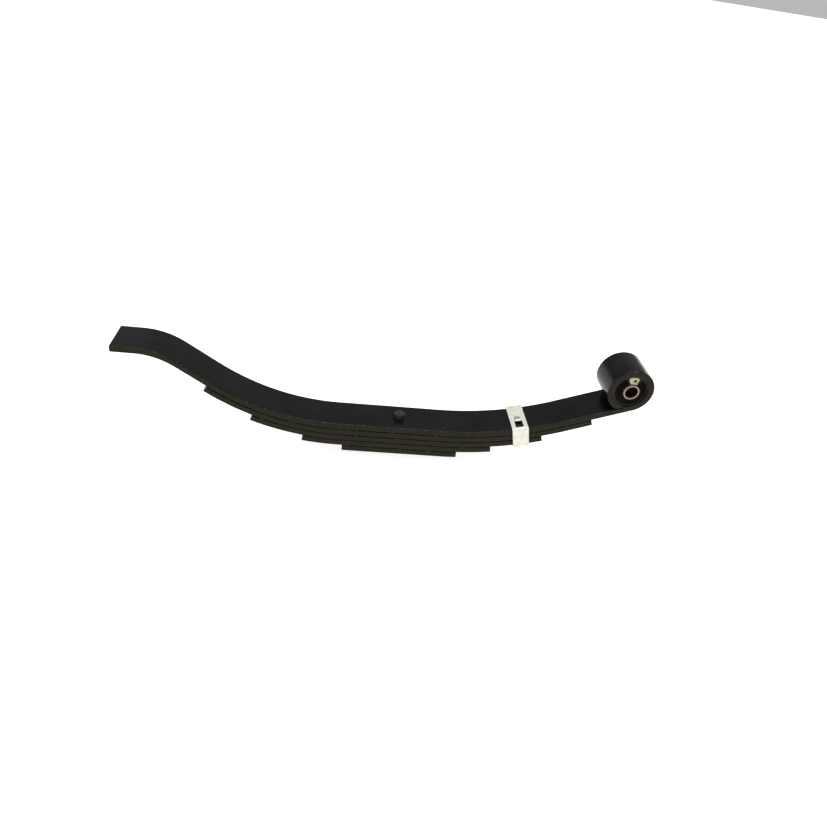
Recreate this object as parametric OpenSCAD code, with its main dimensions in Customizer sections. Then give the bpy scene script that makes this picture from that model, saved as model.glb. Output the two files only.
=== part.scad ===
// Slipper leaf spring: five nested leaves, a rolled eye with a rubber bush at the +X end,
// a plain slipper end at -X, a centre bolt and one rebound clip.
// Frame: the origin is on the centre bolt's axis at the main leaf's top face.
// +X points to the eye, +Z is square to the flat seat, away from the short leaves.
// Every leaf is clamped flat at the seat and bends outboard of it.  The three long leaves
// are each in three sections, because each arm swings about a flex station, a line across
// the spring at the third leaf's underside, just outboard of the fourth leaf's tip.

/* [Leaf stack] */
// Width of every leaf
leaf_w = 50.8; // [40:0.2:80]
// Thickness of every leaf
leaf_t = 8.2; // [6:0.1:11]
// Film of paint and scale between neighbouring leaves
leaf_gap = 0.2; // [0.1:0.1:1]

/* [Eye side of the main leaf] */
// Flat seat, from the centre bolt to the start of the eye-side bend
eye_seat = 55; // [35:1:75]
// Bend radius, at the main leaf's top face
eye_bend_r = 425; // [300:5:900]
// Angle that the bend turns through
eye_bend_angle = 21.5; // [17:0.5:30]
// Straight run from the end of the bend to the foot of the eye
eye_run = 88; // [60:1:160]
// Bore that is rolled into the eye
eye_bore_d = 43.6; // [36:0.2:60]
// Gap between the main leaf and the end of the eye's curl
curl_gap = 0.6; // [0.2:0.1:2]
// Angle at the eye's centre, from its foot to the end of its curl
curl_stop = 25; // [15:1:40]

/* [Slipper side of the main leaf] */
// Flat seat, from the centre bolt to the start of the slipper-side bend
slip_seat = 78; // [50:1:95]
// Bend radius, at the main leaf's top face
slip_bend_r = 280; // [200:5:700]
// Angle that the bend turns through, and that the reversed bend turns back
slip_bend_angle = 33.5; // [26:0.5:40]
// Straight run between the bend and the reversed bend
slip_run = 47; // [30:1:120]
// Radius of the reversed bend, at the main leaf's top face
tip_bend_r = 88; // [50:1:200]
// Level run from the reversed bend to the slipper end
tip_run = 26.6; // [10:0.2:60]

/* [Shorter leaves] */
// Second leaf, from the bolt to its eye-side end, along its middle
second_eye_len = 254; // [220:1:260]
// Second leaf, from the bolt to its slipper-side end
second_slip_len = 252; // [220:1:260]
// Third leaf, from the bolt to its eye-side end
third_eye_len = 190; // [178:1:215]
// Third leaf, from the bolt to its slipper-side end
third_slip_len = 190; // [150:1:215]
// Fourth leaf, from the bolt to its eye-side end
fourth_eye_len = 123.5; // [90:0.5:130]
// Fourth leaf, from the bolt to its slipper-side end
fourth_slip_len = 123.5; // [100:0.5:140]
// Fifth leaf, from the bolt to its eye-side end
fifth_eye_len = 79; // [60:1:88]
// Fifth leaf, from the bolt to its slipper-side end
fifth_slip_len = 72; // [60:1:88]

/* [Flex stations] */
// Distance along the leaves from the fourth leaf's end to the flex station
station_lead = 6.5; // [3:0.5:12]
// Width of the slit between a seat section and an arm section
flex_slit = 0.6; // [0.4:0.1:1.5]

/* [Centre bolt and nut] */
// Shank of the bolt
bolt_d = 9.5; // [8:0.1:14]
// Clearance around the shank in the leaves
bolt_hole_clear = 0.4; // [0.2:0.1:1]
// Round head, which is the locating dowel
head_d = 14; // [12:0.1:20]
// Height of the head above the main leaf
head_h = 7; // [4:0.5:14]
// Chamfer around the head's top
head_chamfer = 0.8; // [0.3:0.1:1.5]
// Nut across its flats
nut_af = 14.3; // [13:0.1:24]
// Height of the nut
nut_h = 8.3; // [5:0.1:14]
// Length of the shank past the nut
bolt_tail = 2; // [1:0.5:8]
// Clearance between the nut's thread and the shank
thread_clear = 0.05; // [0.02:0.01:0.2]

/* [Rebound clip] */
// Middle of the clip, from the bolt along the main leaf's top face
clip_at = 157; // [150:1:165]
// Width of the clip's strap
clip_w = 21; // [14:1:24]
// Thickness of the strap
clip_t = 2.2; // [1.5:0.1:3.5]
// Clearance between the strap and the leaves
clip_clear = 0.4; // [0.25:0.05:1]
// Inside radius of the strap's four bends
clip_bend_r = 0.8; // [0.5:0.1:3]
// Slot in the strap's top, along the leaf
slot_w = 10; // [6:0.5:12]
// Slot in the strap's top, across the leaf
slot_len = 14; // [8:0.5:16]
// Strap left between the slot and the strap's front face
slot_edge = 5.2; // [2.8:0.1:8]
// Width of the tongue that hooks over the slot's rear edge
tongue_w = 8; // [4:0.5:10]
// Length of the tongue behind the slot
tongue_len = 9; // [3:0.5:10]
// Thickness of the tongue
tongue_t = 1.6; // [1:0.1:2.5]

/* [Eye bush] */
// Bore of the inner sleeve, for the eye bolt
sleeve_bore_d = 16.2; // [12:0.1:18]
// Outside of the inner sleeve
sleeve_d = 20.6; // [20:0.1:26]
// Length of the inner sleeve, past the rubber on both sides
sleeve_len = 53; // [52:0.5:90]
// Chamfer at each end of the inner sleeve
sleeve_chamfer = 0.5; // [0.2:0.1:1]
// Running clearance of the inner sleeve in the rubber
sleeve_clear = 0.05; // [0.02:0.01:0.1]
// Wall of the outer shell
shell_wall = 1.5; // [1:0.1:2.5]
// Seating clearance of the shell in the eye
shell_clear = 0.05; // [0.02:0.01:0.1]
// Depth of the shell's ends inside the eye's side faces
shell_inset = 2.4; // [1:0.1:5]
// Bare edge of the shell past the rubber at each end
shell_edge = 0.4; // [0.2:0.1:2]
// Depth of the rubber's dished faces below its inner lip
rubber_dish = 1.8; // [0.5:0.1:4]
// Width of the rubber's inner lip
rubber_lip = 2; // [1:0.1:4]
// Slope of the rubber's dished face, across the radius
rubber_slope = 2.2; // [1:0.1:3]
// Moulding-pin hole in the rubber's front face
pin_hole_d = 2.6; // [1.5:0.1:4]
// Depth of the moulding-pin hole
pin_hole_depth = 8; // [3:1:15]
// Direction of the moulding-pin hole from the bush's axis, clockwise from +Z
pin_hole_angle = 6; // [-180:1:180]

/* [Hidden] */

$fn = 180;
leaf_count = 5;
clipped_leaves = 3;
// A straight strip starts this far inside the arc before it, so that they join
weld = 0.2;
// A straight strip lies this far inside its arc's two faces, so that no faces graze there
inset = 0.005;
straight_t = leaf_t - 2 * inset;
pitch = leaf_t + leaf_gap;
stack_h = leaf_count * leaf_t + (leaf_count - 1) * leaf_gap;
clipped_h = clipped_leaves * leaf_t + (clipped_leaves - 1) * leaf_gap;
bolt_hole_d = bolt_d + 2 * bolt_hole_clear;
eye_r = eye_bore_d / 2 + leaf_t;
shell_r = eye_bore_d / 2 - shell_clear;
rubber_r = shell_r - shell_wall;
rubber_bore_r = sleeve_d / 2 + sleeve_clear;
shell_len = leaf_w - 2 * shell_inset;
clip_out_w = leaf_w + 2 * (clip_clear + clip_t);
clip_out_h = clipped_h + 2 * (clip_clear + clip_t);
clip_angle = degrees((clip_at - eye_seat) / eye_bend_r);

leaf_color = "#2a2b2c";
bolt_color = "#202122";
zinc_color = "#d6d8cf";
shell_color = "#4a443c";
rubber_color = "#161412";
sleeve_color = "#b8a48e";

function degrees(radians) = radians * 180 / PI;

function radians(degrees) = degrees * PI / 180;

// Depth of a leaf's top face below the main leaf's; leaf 0 is the main leaf
function depth(leaf) = leaf * pitch;

// A side of the spring: [flat seat, bend radius, bend angle, fourth leaf's length]
eye_side = [eye_seat, eye_bend_r, eye_bend_angle, fourth_eye_len];
slip_side = [slip_seat, slip_bend_r, slip_bend_angle, fourth_slip_len];

// Angle around a side's bend from its start to its flex station
function station_angle(side) =
    degrees((side[3] + station_lead - side[0]) / (side[1] + depth(3) + leaf_t / 2));

// Length along a leaf's middle from the bolt to the end of a side's bend
function bend_end(side, leaf) =
    side[0] + (side[1] + depth(leaf) + leaf_t / 2) * radians(side[2]);

// ---- outlines, drawn in the plane of the spring's side view ----

// Strip between two radii, from straight below the centre, turning towards +X
module arc_strip(inner_r, angle) {
    outer_r = inner_r + leaf_t;
    intersection() {
        difference() {
            circle(r = outer_r, $fn = 720);
            circle(r = inner_r, $fn = 720);
        }
        polygon([[0, 0], [0, -2 * outer_r], [2 * outer_r * tan(angle), -2 * outer_r]]);
    }
}

// Moves its children into the frame of a side's bend: centre of the bend, turned by an angle
module around_bend(side, angle) {
    translate([side[0], side[1]])
        rotate(angle)
            children();
}

// The flat middle of a leaf, which both seats share
module flat_middle(leaf, eye_len, slip_len) {
    eye_end = min(eye_len, eye_seat);
    slip_end = min(slip_len, slip_seat);
    translate([-slip_end, -depth(leaf) - leaf_t])
        square([slip_end + eye_end, leaf_t]);
}

// The bent part of one side of a leaf, out to its square end
module bent_part(side, leaf, len) {
    inner_r = side[1] + depth(leaf);
    turned = min(side[2], degrees((len - side[0]) / (inner_r + leaf_t / 2)));
    run = len - bend_end(side, leaf);
    if (turned > 0)
        around_bend(side, 0)
            arc_strip(inner_r, turned);
    if (run > 0)
        around_bend(side, side[2])
            translate([-weld, -inner_r - leaf_t + inset])
                square([run + weld, straight_t]);
}

// A whole leaf, without an eye or a slipper tip
module plain_leaf(leaf, eye_len, slip_len) {
    flat_middle(leaf, eye_len, slip_len);
    bent_part(eye_side, leaf, eye_len);
    mirror([1, 0])
        bent_part(slip_side, leaf, slip_len);
}

// The eye, rolled up over the leaf; the origin is its foot, on the leaf's top face
module eye_curl() {
    difference() {
        translate([0, eye_bore_d / 2])
            circle(r = eye_r);
        translate([0, eye_bore_d / 2])
            circle(d = eye_bore_d);
        translate([-2 * eye_r, -2 * leaf_t])
            square([2 * eye_r, 2 * leaf_t + curl_gap]);
        translate([0, eye_bore_d / 2])
            polygon([[0, 0], [0, -2 * eye_r], [-2 * eye_r * tan(curl_stop), -2 * eye_r]]);
    }
}

// The reversed bend and the level end; the origin is on the leaf's top face
module slipper_tip() {
    translate([0, -tip_bend_r]) {
        mirror([0, 1])
            arc_strip(tip_bend_r - leaf_t, slip_bend_angle);
        rotate(-slip_bend_angle)
            translate([-weld, tip_bend_r - leaf_t + inset])
                square([tip_run + weld, straight_t]);
    }
}

// The main leaf, with its eye and its slipper end
module main_outline() {
    plain_leaf(0, bend_end(eye_side, 0) + eye_run, bend_end(slip_side, 0) + slip_run);
    around_bend(eye_side, eye_bend_angle)
        translate([eye_run, -eye_bend_r])
            eye_curl();
    mirror([1, 0])
        around_bend(slip_side, slip_bend_angle)
            translate([slip_run, -slip_bend_r])
                slipper_tip();
}

module second_outline() {
    plain_leaf(1, second_eye_len, second_slip_len);
}

module third_outline() {
    plain_leaf(2, third_eye_len, third_slip_len);
}

// Everything outboard of a side's flex station, moved outboard by shift
module outboard(side, shift) {
    reach = 2 * side[1];
    around_bend(side, station_angle(side))
        translate([shift, -reach])
            square([reach, 2 * reach]);
}

// ---- solids ----

// A plate as wide as a leaf, from an outline
module leaf_plate() {
    rotate([90, 0, 0])
        linear_extrude(leaf_w, center = true)
            children();
}

// The hole through every leaf for the centre bolt
module bolt_hole() {
    translate([0, 0, -stack_h - 1])
        cylinder(d = bolt_hole_d, h = stack_h + 2);
}

// The clamped section of a long leaf, between the two flex stations
module seat_section() {
    color(leaf_color)
        difference() {
            leaf_plate()
                difference() {
                    children();
                    outboard(eye_side, -flex_slit / 2);
                    mirror([1, 0])
                        outboard(slip_side, -flex_slit / 2);
                }
            bolt_hole();
        }
}

// The arm of a long leaf on the eye side
module eye_section() {
    color(leaf_color)
        leaf_plate()
            intersection() {
                children();
                outboard(eye_side, flex_slit / 2);
            }
}

// The arm of a long leaf on the slipper side
module slipper_section() {
    color(leaf_color)
        leaf_plate()
            intersection() {
                children();
                mirror([1, 0])
                    outboard(slip_side, flex_slit / 2);
            }
}

// A short leaf, whole
module short_leaf(leaf, eye_len, slip_len) {
    color(leaf_color)
        difference() {
            leaf_plate()
                plain_leaf(leaf, eye_len, slip_len);
            bolt_hole();
        }
}

module main_leaf_seat() {
    seat_section()
        main_outline();
}

module main_leaf_eye_arm() {
    eye_section()
        main_outline();
}

module main_leaf_slipper_arm() {
    slipper_section()
        main_outline();
}

module second_leaf_seat() {
    seat_section()
        second_outline();
}

module second_leaf_eye_arm() {
    eye_section()
        second_outline();
}

module second_leaf_slipper_arm() {
    slipper_section()
        second_outline();
}

module third_leaf_seat() {
    seat_section()
        third_outline();
}

module third_leaf_eye_arm() {
    eye_section()
        third_outline();
}

module third_leaf_slipper_arm() {
    slipper_section()
        third_outline();
}

module fourth_leaf() {
    short_leaf(3, fourth_eye_len, fourth_slip_len);
}

module fifth_leaf() {
    short_leaf(4, fifth_eye_len, fifth_slip_len);
}

// Round-headed centre bolt, with its head on top of the main leaf
module centre_bolt() {
    head_r = head_d / 2;
    color(bolt_color) {
        rotate_extrude()
            polygon([
                [0, 0],
                [head_r, 0],
                [head_r, head_h - head_chamfer],
                [head_r - head_chamfer, head_h],
                [0, head_h]
            ]);
        translate([0, 0, -stack_h - nut_h - bolt_tail])
            cylinder(d = bolt_d, h = stack_h + nut_h + bolt_tail + head_h / 2);
    }
}

// Hexagon nut under the fifth leaf, with its lower corners turned off
module centre_nut() {
    corner_r = nut_af / 2 / cos(30);
    corner_drop = corner_r - nut_af / 2;
    color(bolt_color)
        translate([0, 0, -stack_h - nut_h])
            difference() {
                intersection() {
                    cylinder(r = corner_r, h = nut_h, $fn = 6);
                    rotate_extrude()
                        polygon([
                            [0, 0],
                            [nut_af / 2, 0],
                            [corner_r, corner_drop],
                            [corner_r + 1, corner_drop],
                            [corner_r + 1, nut_h],
                            [0, nut_h]
                        ]);
                }
                translate([0, 0, -1])
                    cylinder(r = bolt_d / 2 + thread_clear, h = nut_h + 2);
            }
}

// Rectangle with round corners, about the origin
module rounded_rect(w, h, r) {
    square([w - 2 * r, h], center = true);
    square([w, h - 2 * r], center = true);
    for (x = [-1, 1], y = [-1, 1])
        translate([x * (w / 2 - r), y * (h / 2 - r)])
            circle(r = r);
}

// Moves its children onto the main leaf's top face at the middle of the clip
module at_clip() {
    translate([eye_seat, 0, eye_bend_r])
        rotate([0, -clip_angle, 0])
            translate([0, 0, -eye_bend_r])
                children();
}

// Sheet strap wrapped around the three long leaves; its end is a tongue hooked through a slot
module rebound_clip() {
    slot_front = -clip_out_w / 2 + slot_edge;
    slot_rear = slot_front + slot_len;
    color(zinc_color)
        at_clip() {
            difference() {
                translate([0, 0, -clipped_h / 2])
                    rotate([90, 0, 90])
                        linear_extrude(clip_w, center = true)
                            difference() {
                                rounded_rect(clip_out_w, clip_out_h, clip_bend_r + clip_t);
                                rounded_rect(
                                    clip_out_w - 2 * clip_t,
                                    clip_out_h - 2 * clip_t,
                                    clip_bend_r
                                );
                            }
                translate([-slot_w / 2, slot_front, clip_clear - 1])
                    cube([slot_w, slot_len, clip_t + 2]);
            }
            translate([-tongue_w / 2, slot_rear - tongue_t, clip_clear])
                cube([tongue_w, tongue_t, clip_t + tongue_t]);
            translate([-tongue_w / 2, slot_rear - tongue_t, clip_clear + clip_t])
                cube([tongue_w, tongue_t + tongue_len, tongue_t]);
        }
}

// Moves its children to the middle of the eye, with Z along the eye's axis towards -Y
module at_eye() {
    translate([eye_seat, 0, eye_bend_r])
        rotate([0, -eye_bend_angle, 0])
            translate([eye_run, 0, eye_bore_d / 2 - eye_bend_r])
                rotate([0, eye_bend_angle, 0])
                    rotate([90, 0, 0])
                        children();
}

// Steel shell that seats in the eye
module bush_shell() {
    color(shell_color)
        at_eye()
            difference() {
                cylinder(r = shell_r, h = shell_len, center = true);
                cylinder(r = rubber_r, h = shell_len + 2, center = true);
            }
}

// Rubber bush, with a dished face on both sides
module bush_rubber() {
    face_y = shell_len / 2 - shell_edge;
    lip_y = face_y + rubber_dish;
    lip_r = rubber_bore_r + rubber_lip;
    hole_r = (rubber_r + sleeve_d / 2) / 2;
    color(rubber_color)
        at_eye()
            difference() {
                rotate_extrude()
                    polygon([
                        [rubber_bore_r, -lip_y],
                        [lip_r, -lip_y],
                        [lip_r + rubber_slope, -face_y],
                        [rubber_r, -face_y],
                        [rubber_r, face_y],
                        [lip_r + rubber_slope, face_y],
                        [lip_r, lip_y],
                        [rubber_bore_r, lip_y]
                    ]);
                rotate(-pin_hole_angle)
                    translate([0, hole_r, shell_len / 2 - pin_hole_depth])
                        cylinder(d = pin_hole_d, h = pin_hole_depth + 5);
            }
}

// Inner steel sleeve, which turns in the rubber
module bush_sleeve() {
    bore_r = sleeve_bore_d / 2;
    wall_r = sleeve_d / 2;
    end_y = sleeve_len / 2;
    color(sleeve_color)
        at_eye()
            rotate_extrude()
                polygon([
                    [bore_r, -end_y],
                    [wall_r - sleeve_chamfer, -end_y],
                    [wall_r, sleeve_chamfer - end_y],
                    [wall_r, end_y - sleeve_chamfer],
                    [wall_r - sleeve_chamfer, end_y],
                    [bore_r, end_y]
                ]);
}

main_leaf_seat();
main_leaf_eye_arm();
main_leaf_slipper_arm();
second_leaf_seat();
second_leaf_eye_arm();
second_leaf_slipper_arm();
third_leaf_seat();
third_leaf_eye_arm();
third_leaf_slipper_arm();
fourth_leaf();
fifth_leaf();
centre_bolt();
centre_nut();
rebound_clip();
bush_shell();
bush_rubber();
bush_sleeve();
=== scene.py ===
# Looks of the slipper leaf spring: leaves, bolt, clip and bush as detailed meshes on the CAD frame.
import math

import bpy
from mathutils import Matrix, Vector


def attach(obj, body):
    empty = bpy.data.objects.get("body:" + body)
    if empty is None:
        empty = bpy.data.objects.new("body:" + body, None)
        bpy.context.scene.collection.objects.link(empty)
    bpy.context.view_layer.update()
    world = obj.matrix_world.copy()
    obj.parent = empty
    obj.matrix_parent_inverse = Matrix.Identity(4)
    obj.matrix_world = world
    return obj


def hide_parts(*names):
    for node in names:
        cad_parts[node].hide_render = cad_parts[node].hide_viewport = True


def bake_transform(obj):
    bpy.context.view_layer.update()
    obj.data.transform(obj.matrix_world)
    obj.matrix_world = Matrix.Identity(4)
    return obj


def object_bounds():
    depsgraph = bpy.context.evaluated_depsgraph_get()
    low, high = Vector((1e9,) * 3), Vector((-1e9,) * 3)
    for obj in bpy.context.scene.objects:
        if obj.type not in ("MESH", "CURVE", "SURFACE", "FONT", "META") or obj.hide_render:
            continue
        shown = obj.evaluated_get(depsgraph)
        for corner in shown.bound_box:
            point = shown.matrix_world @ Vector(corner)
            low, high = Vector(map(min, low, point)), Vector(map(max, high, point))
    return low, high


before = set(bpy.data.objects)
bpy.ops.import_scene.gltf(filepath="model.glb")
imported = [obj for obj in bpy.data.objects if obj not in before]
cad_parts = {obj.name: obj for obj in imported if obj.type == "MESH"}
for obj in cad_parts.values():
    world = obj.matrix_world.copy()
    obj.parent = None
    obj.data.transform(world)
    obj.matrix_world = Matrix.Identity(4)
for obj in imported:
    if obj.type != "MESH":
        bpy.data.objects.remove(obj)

CAD_LOW, CAD_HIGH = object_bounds()
MM = 0.001
TAU = 2 * math.pi
QUARTER = math.pi / 2

# ---- leaf sizes, in mm, as in the CAD source ----
LEAF_W, LEAF_T, PITCH, LEAVES = 50.8, 8.2, 8.4, 5
STACK_H = PITCH * (LEAVES - 1) + LEAF_T
EDGE_R, HOLE_R = 1.6, 5.15
# each side of the pack: flat seat, bend radius of the main leaf's top, and how far it turns
EYE_SIDE = (55.0, 425.0, math.radians(21.5))
SLIP_SIDE = (78.0, 280.0, math.radians(33.5))
# straight runs after the bends, and the slipper end that is bent back to level
EYE_RUN, SLIP_RUN = 88.0, 47.0
TIP_BEND_R, TIP_RUN = 88.0, 26.6
EYE_BORE_R, CURL_GAP, CURL_STOP = 21.8, 0.6, math.radians(25)
# the shorter leaves: place in the pack, and length towards the eye and towards the slipper end
SHORTER = {
    "second": (1, 254.0, 252.0),
    "third": (2, 190.0, 190.0),
    "fourth": (3, 123.5, 123.5),
    "fifth": (4, 79.0, 72.0),
}
LONG_LEAVES = 3

# ---- bolt, nut and clip ----
BOLT_R, HEAD_R, HEAD_H = 4.75, 7.0, 7.0
NUT_AF, NUT_H, BOLT_TAIL = 14.3, 8.3, 2.0
THREAD_PITCH, THREAD_DEPTH, THREAD_TOP, THREAD_FADE = 1.5875, 0.85, -38.0, 1.6

CLIP_AT, CLIP_W, CLIP_T, CLIP_CLEAR, CLIP_BEND_R = 157.0, 21.0, 2.2, 0.4, 0.8
CLIPPED_H = PITCH * (LONG_LEAVES - 1) + LEAF_T
SLOT_W, SLOT_LEN, SLOT_EDGE, SLOT_CORNER_R = 10.0, 14.0, 5.2, 1.3
TONGUE_W, TONGUE_LEN, TONGUE_T, TONGUE_TIP_T, TONGUE_BEND_R = 8.0, 9.0, 1.6, 0.45, 0.4

# ---- eye and bush ----
EYE_X = (EYE_SIDE[0] + (EYE_SIDE[1] - EYE_BORE_R) * math.sin(EYE_SIDE[2])
         + EYE_RUN * math.cos(EYE_SIDE[2]))
EYE_Z = (EYE_SIDE[1] - (EYE_SIDE[1] - EYE_BORE_R) * math.cos(EYE_SIDE[2])
         + EYE_RUN * math.sin(EYE_SIDE[2]))
SLEEVE_BORE_R, SLEEVE_R, SLEEVE_LEN = 8.1, 10.3, 53.0
SHELL_R, SHELL_BORE_R, SHELL_LEN, SHELL_EDGE = 21.75, 20.25, 46.0, 0.4
RUBBER_BORE_R, RUBBER_DISH, RUBBER_LIP, RUBBER_SLOPE = 10.35, 1.8, 2.0, 2.2
RUBBER_OUT, RUBBER_ROUND = SHELL_BORE_R - 0.03, 0.5
GROOVE_AT, GROOVE_W, GROOVE_DEPTH = 18.7, 0.5, 0.35
PIN_HOLE_R, PIN_HOLE_DEPTH, PIN_HOLE_ANGLE = 1.3, 8.0, math.radians(6)
PIN_HOLE_AT = (SHELL_BORE_R + SLEEVE_R) / 2


# ---- mesh helpers ----
EDGE_STEPS = 4
LEAST_EDGE_R = 0.12


class Build:
    """Vertices, in mm, and faces with a normal at each corner. Equal places become one vertex."""

    def __init__(self):
        self.verts, self.faces, self.normals = [], [], []
        self.flow, self.edge, self.known = [], [], {}

    def index(self, corner):
        place, _, flow, edge = corner
        key = tuple(round(c, 4) for c in place)
        if key not in self.known:
            self.known[key] = len(self.verts)
            self.verts.append(tuple(c * MM for c in place))
            self.flow.append(flow)
            self.edge.append(edge)
        return self.known[key]

    def face(self, corners, flip=False, normal=None):
        """Adds a face. A corner is (place, normal, flow, edge), and normal replaces the corners' own."""
        if flip:
            corners = corners[::-1]
        indexes, normals = [], []
        for corner in corners:
            i = self.index(corner)
            if i not in indexes:
                indexes.append(i)
                normals.append(tuple(normal if normal is not None else corner[1]))
        if len(indexes) > 2:
            self.faces.append(indexes)
            self.normals.extend(normals)

    def make(self, name, own_normals=True):
        """The object, with flow and edge as attributes for its material."""
        mesh = bpy.data.meshes.new(name)
        mesh.from_pydata(self.verts, [], self.faces)
        mesh.shade_smooth()
        flow = mesh.attributes.new("flow", "FLOAT_VECTOR", "POINT")
        flow.data.foreach_set("vector", [c for f in self.flow for c in f])
        edge = mesh.attributes.new("edge", "FLOAT", "POINT")
        edge.data.foreach_set("value", self.edge)
        if own_normals:
            mesh.normals_split_custom_set(self.normals)
        mesh.update()
        return add_object(name, mesh)


def add_object(name, data):
    obj = bpy.data.objects.new(name, data)
    bpy.context.scene.collection.objects.link(obj)
    return obj


def smooth(t):
    """A soft step from 0 to 1."""
    return t * t * (3 - 2 * t)


def unit(v):
    size = math.sqrt(sum(c * c for c in v)) or 1.0
    return tuple(c / size for c in v)


def cross(a, b):
    return (a[1] * b[2] - a[2] * b[1], a[2] * b[0] - a[0] * b[2], a[0] * b[1] - a[1] * b[0])


def minus(a, b):
    return tuple(p - q for p, q in zip(a, b))


def left_normals(points):
    """Unit normals to the left of a line of 2D points."""
    found = []
    for i in range(len(points)):
        a, b = points[max(i - 1, 0)], points[min(i + 1, len(points) - 1)]
        dx, dz = b[0] - a[0], b[1] - a[1]
        size = math.hypot(dx, dz)
        found.append((-dz / size, dx / size))
    return found


def strip_ring(top, low, top_n, low_n, half_w, edge_r, columns, put, run, inset=0.0, lean=None):
    """One ring round a flat strip: over its top face from one edge to the other, and back below.
    put(plane point, across) gives the place, and put(plane vector, across, True) a direction.
    lean is (angle, direction): the normals turn by the angle towards the direction."""
    thick = math.hypot(top[0] - low[0], top[1] - low[1])
    up = ((top[0] - low[0]) / thick, (top[1] - low[1]) / thick)
    r = min(max(edge_r - inset, LEAST_EDGE_R), (thick - 2 * inset) * 0.45)
    wide = half_w - inset
    flats = [c * (wide - r) for c in columns]

    def corner(on_top, side, turn, across=None):
        base, out, sense = (top, top_n, -1) if on_top else (low, low_n, 1)
        if across is None:
            across = side * (wide - r + r * math.cos(turn))
        drop = inset + r - r * math.sin(turn)
        place = put((base[0] + up[0] * drop * sense, base[1] + up[1] * drop * sense), across)
        n = put((out[0] * math.sin(turn), out[1] * math.sin(turn)), side * math.cos(turn), True)
        if lean:
            angle, towards = lean
            n = unit(tuple(a * math.cos(angle) + b * math.sin(angle) for a, b in zip(n, towards)))
        on_edge = 0.01 < turn < QUARTER - 0.01
        depth = -drop if on_top else drop - thick
        return (place, n, (run, across, depth), 1.0 if on_edge or lean else 0.0)

    turns = [QUARTER * k / EDGE_STEPS for k in range(EDGE_STEPS + 1)]
    ring = []
    for on_top, side in ((True, -1), (False, 1)):
        ring += [corner(on_top, side, t) for t in turns]
        ring += [corner(on_top, side, QUARTER, -side * f) for f in flats[1:-1]]
        ring += [corner(on_top, -side, t) for t in turns[::-1]]
    return ring


def flat_columns(ring, columns):
    """Indexes in a ring of the flat's first and last columns, and the quads that lie on the two flats."""
    n, left = len(ring), EDGE_STEPS
    right = left + len(columns) - 1
    return left, right, {*range(left, right), *range(n - 1 - right, n - 1 - left)}


def join_rings(b, first, second, flip=False, skip=(), normal=None):
    """Faces between two closed lines of corners. skip holds the places that stay open."""
    n = len(first)
    for j in range(n):
        if j not in skip:
            k = (j + 1) % n
            b.face([first[j], second[j], second[k], first[k]], flip, normal)


def cap_ring(b, ring, normal, flip):
    n = len(ring)
    for j in range(n // 2 - 1):
        b.face([ring[j], ring[n - 1 - j], ring[n - 2 - j], ring[j + 1]], flip, normal)


# ---- leaves ----
LEAF_COLUMNS = [-1 + 2 * i / 12 for i in range(13)]
HOLE_REGION = 11.0
ROW_STEP = 3.6
END_BEVEL = 0.7
FLOW_SHIFT = 400


def leaf_line(leaf, side, length):
    """Top and bottom points of a leaf's side, from the bolt hole's region to length, with the distance."""
    seat, bend_r, angle = side
    top_z, low_z = -leaf * PITCH, -leaf * PITCH - LEAF_T
    inner = bend_r + leaf * PITCH
    middle = inner + LEAF_T / 2
    bend_end = seat + middle * angle
    marks = {HOLE_REGION, length}
    marks.update(m for m in (seat, bend_end) if m < length)
    steps = sorted(marks)
    line = []
    for a, b in zip(steps, steps[1:]):
        n = max(1, round((b - a) / ROW_STEP))
        line += [a + (b - a) * i / n for i in range(n)]
    line.append(length)
    found = []
    for s in line:
        if s <= seat:
            found.append(((s, top_z), (s, low_z), s))
            continue
        turn = min((s - seat) / middle, angle)
        run = max(0.0, s - bend_end)
        c, d = math.cos(turn), math.sin(turn)
        points = [(seat + r * d + run * c, bend_r - r * c + run * d) for r in (inner, inner + LEAF_T)]
        found.append((points[0], points[1], s))
    return found


def curl_outer(turn):
    """Outer radius of the eye's curl, which is flattened where it comes back over the leaf."""
    full, left, soften = EYE_BORE_R + LEAF_T, TAU - turn, 0.7
    if left > math.radians(60):
        return full
    flat = (EYE_BORE_R - CURL_GAP) / math.cos(left)
    near = max(0.0, soften - abs(full - flat))
    return min(full, flat) - near * near / (4 * soften)


def eye_line():
    """The main leaf's side with the eye, which curls up and back over the leaf."""
    seat, bend_r, angle = EYE_SIDE
    line = leaf_line(0, EYE_SIDE, seat + (bend_r + LEAF_T / 2) * angle + EYE_RUN)
    s0 = line[-1][2]
    c, d = math.cos(angle), math.sin(angle)
    # even steps, then closer ones where the curl turns into its flat
    degrees = [3 * i for i in range(1, 103)]
    degrees += [309, 311, 312.5, 313.7, 314.8, 316, 317.5, 320, 324, 328, 332]
    for a in [math.radians(x) for x in degrees] + [TAU - CURL_STOP]:
        points = []
        for r in (EYE_BORE_R, curl_outer(a)):
            t, n = r * math.sin(a), -r * math.cos(a)
            points.append((EYE_X + t * c - n * d, EYE_Z + t * d + n * c))
        line.append((points[0], points[1], s0 + a * (EYE_BORE_R + LEAF_T / 2)))
    return line


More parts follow.
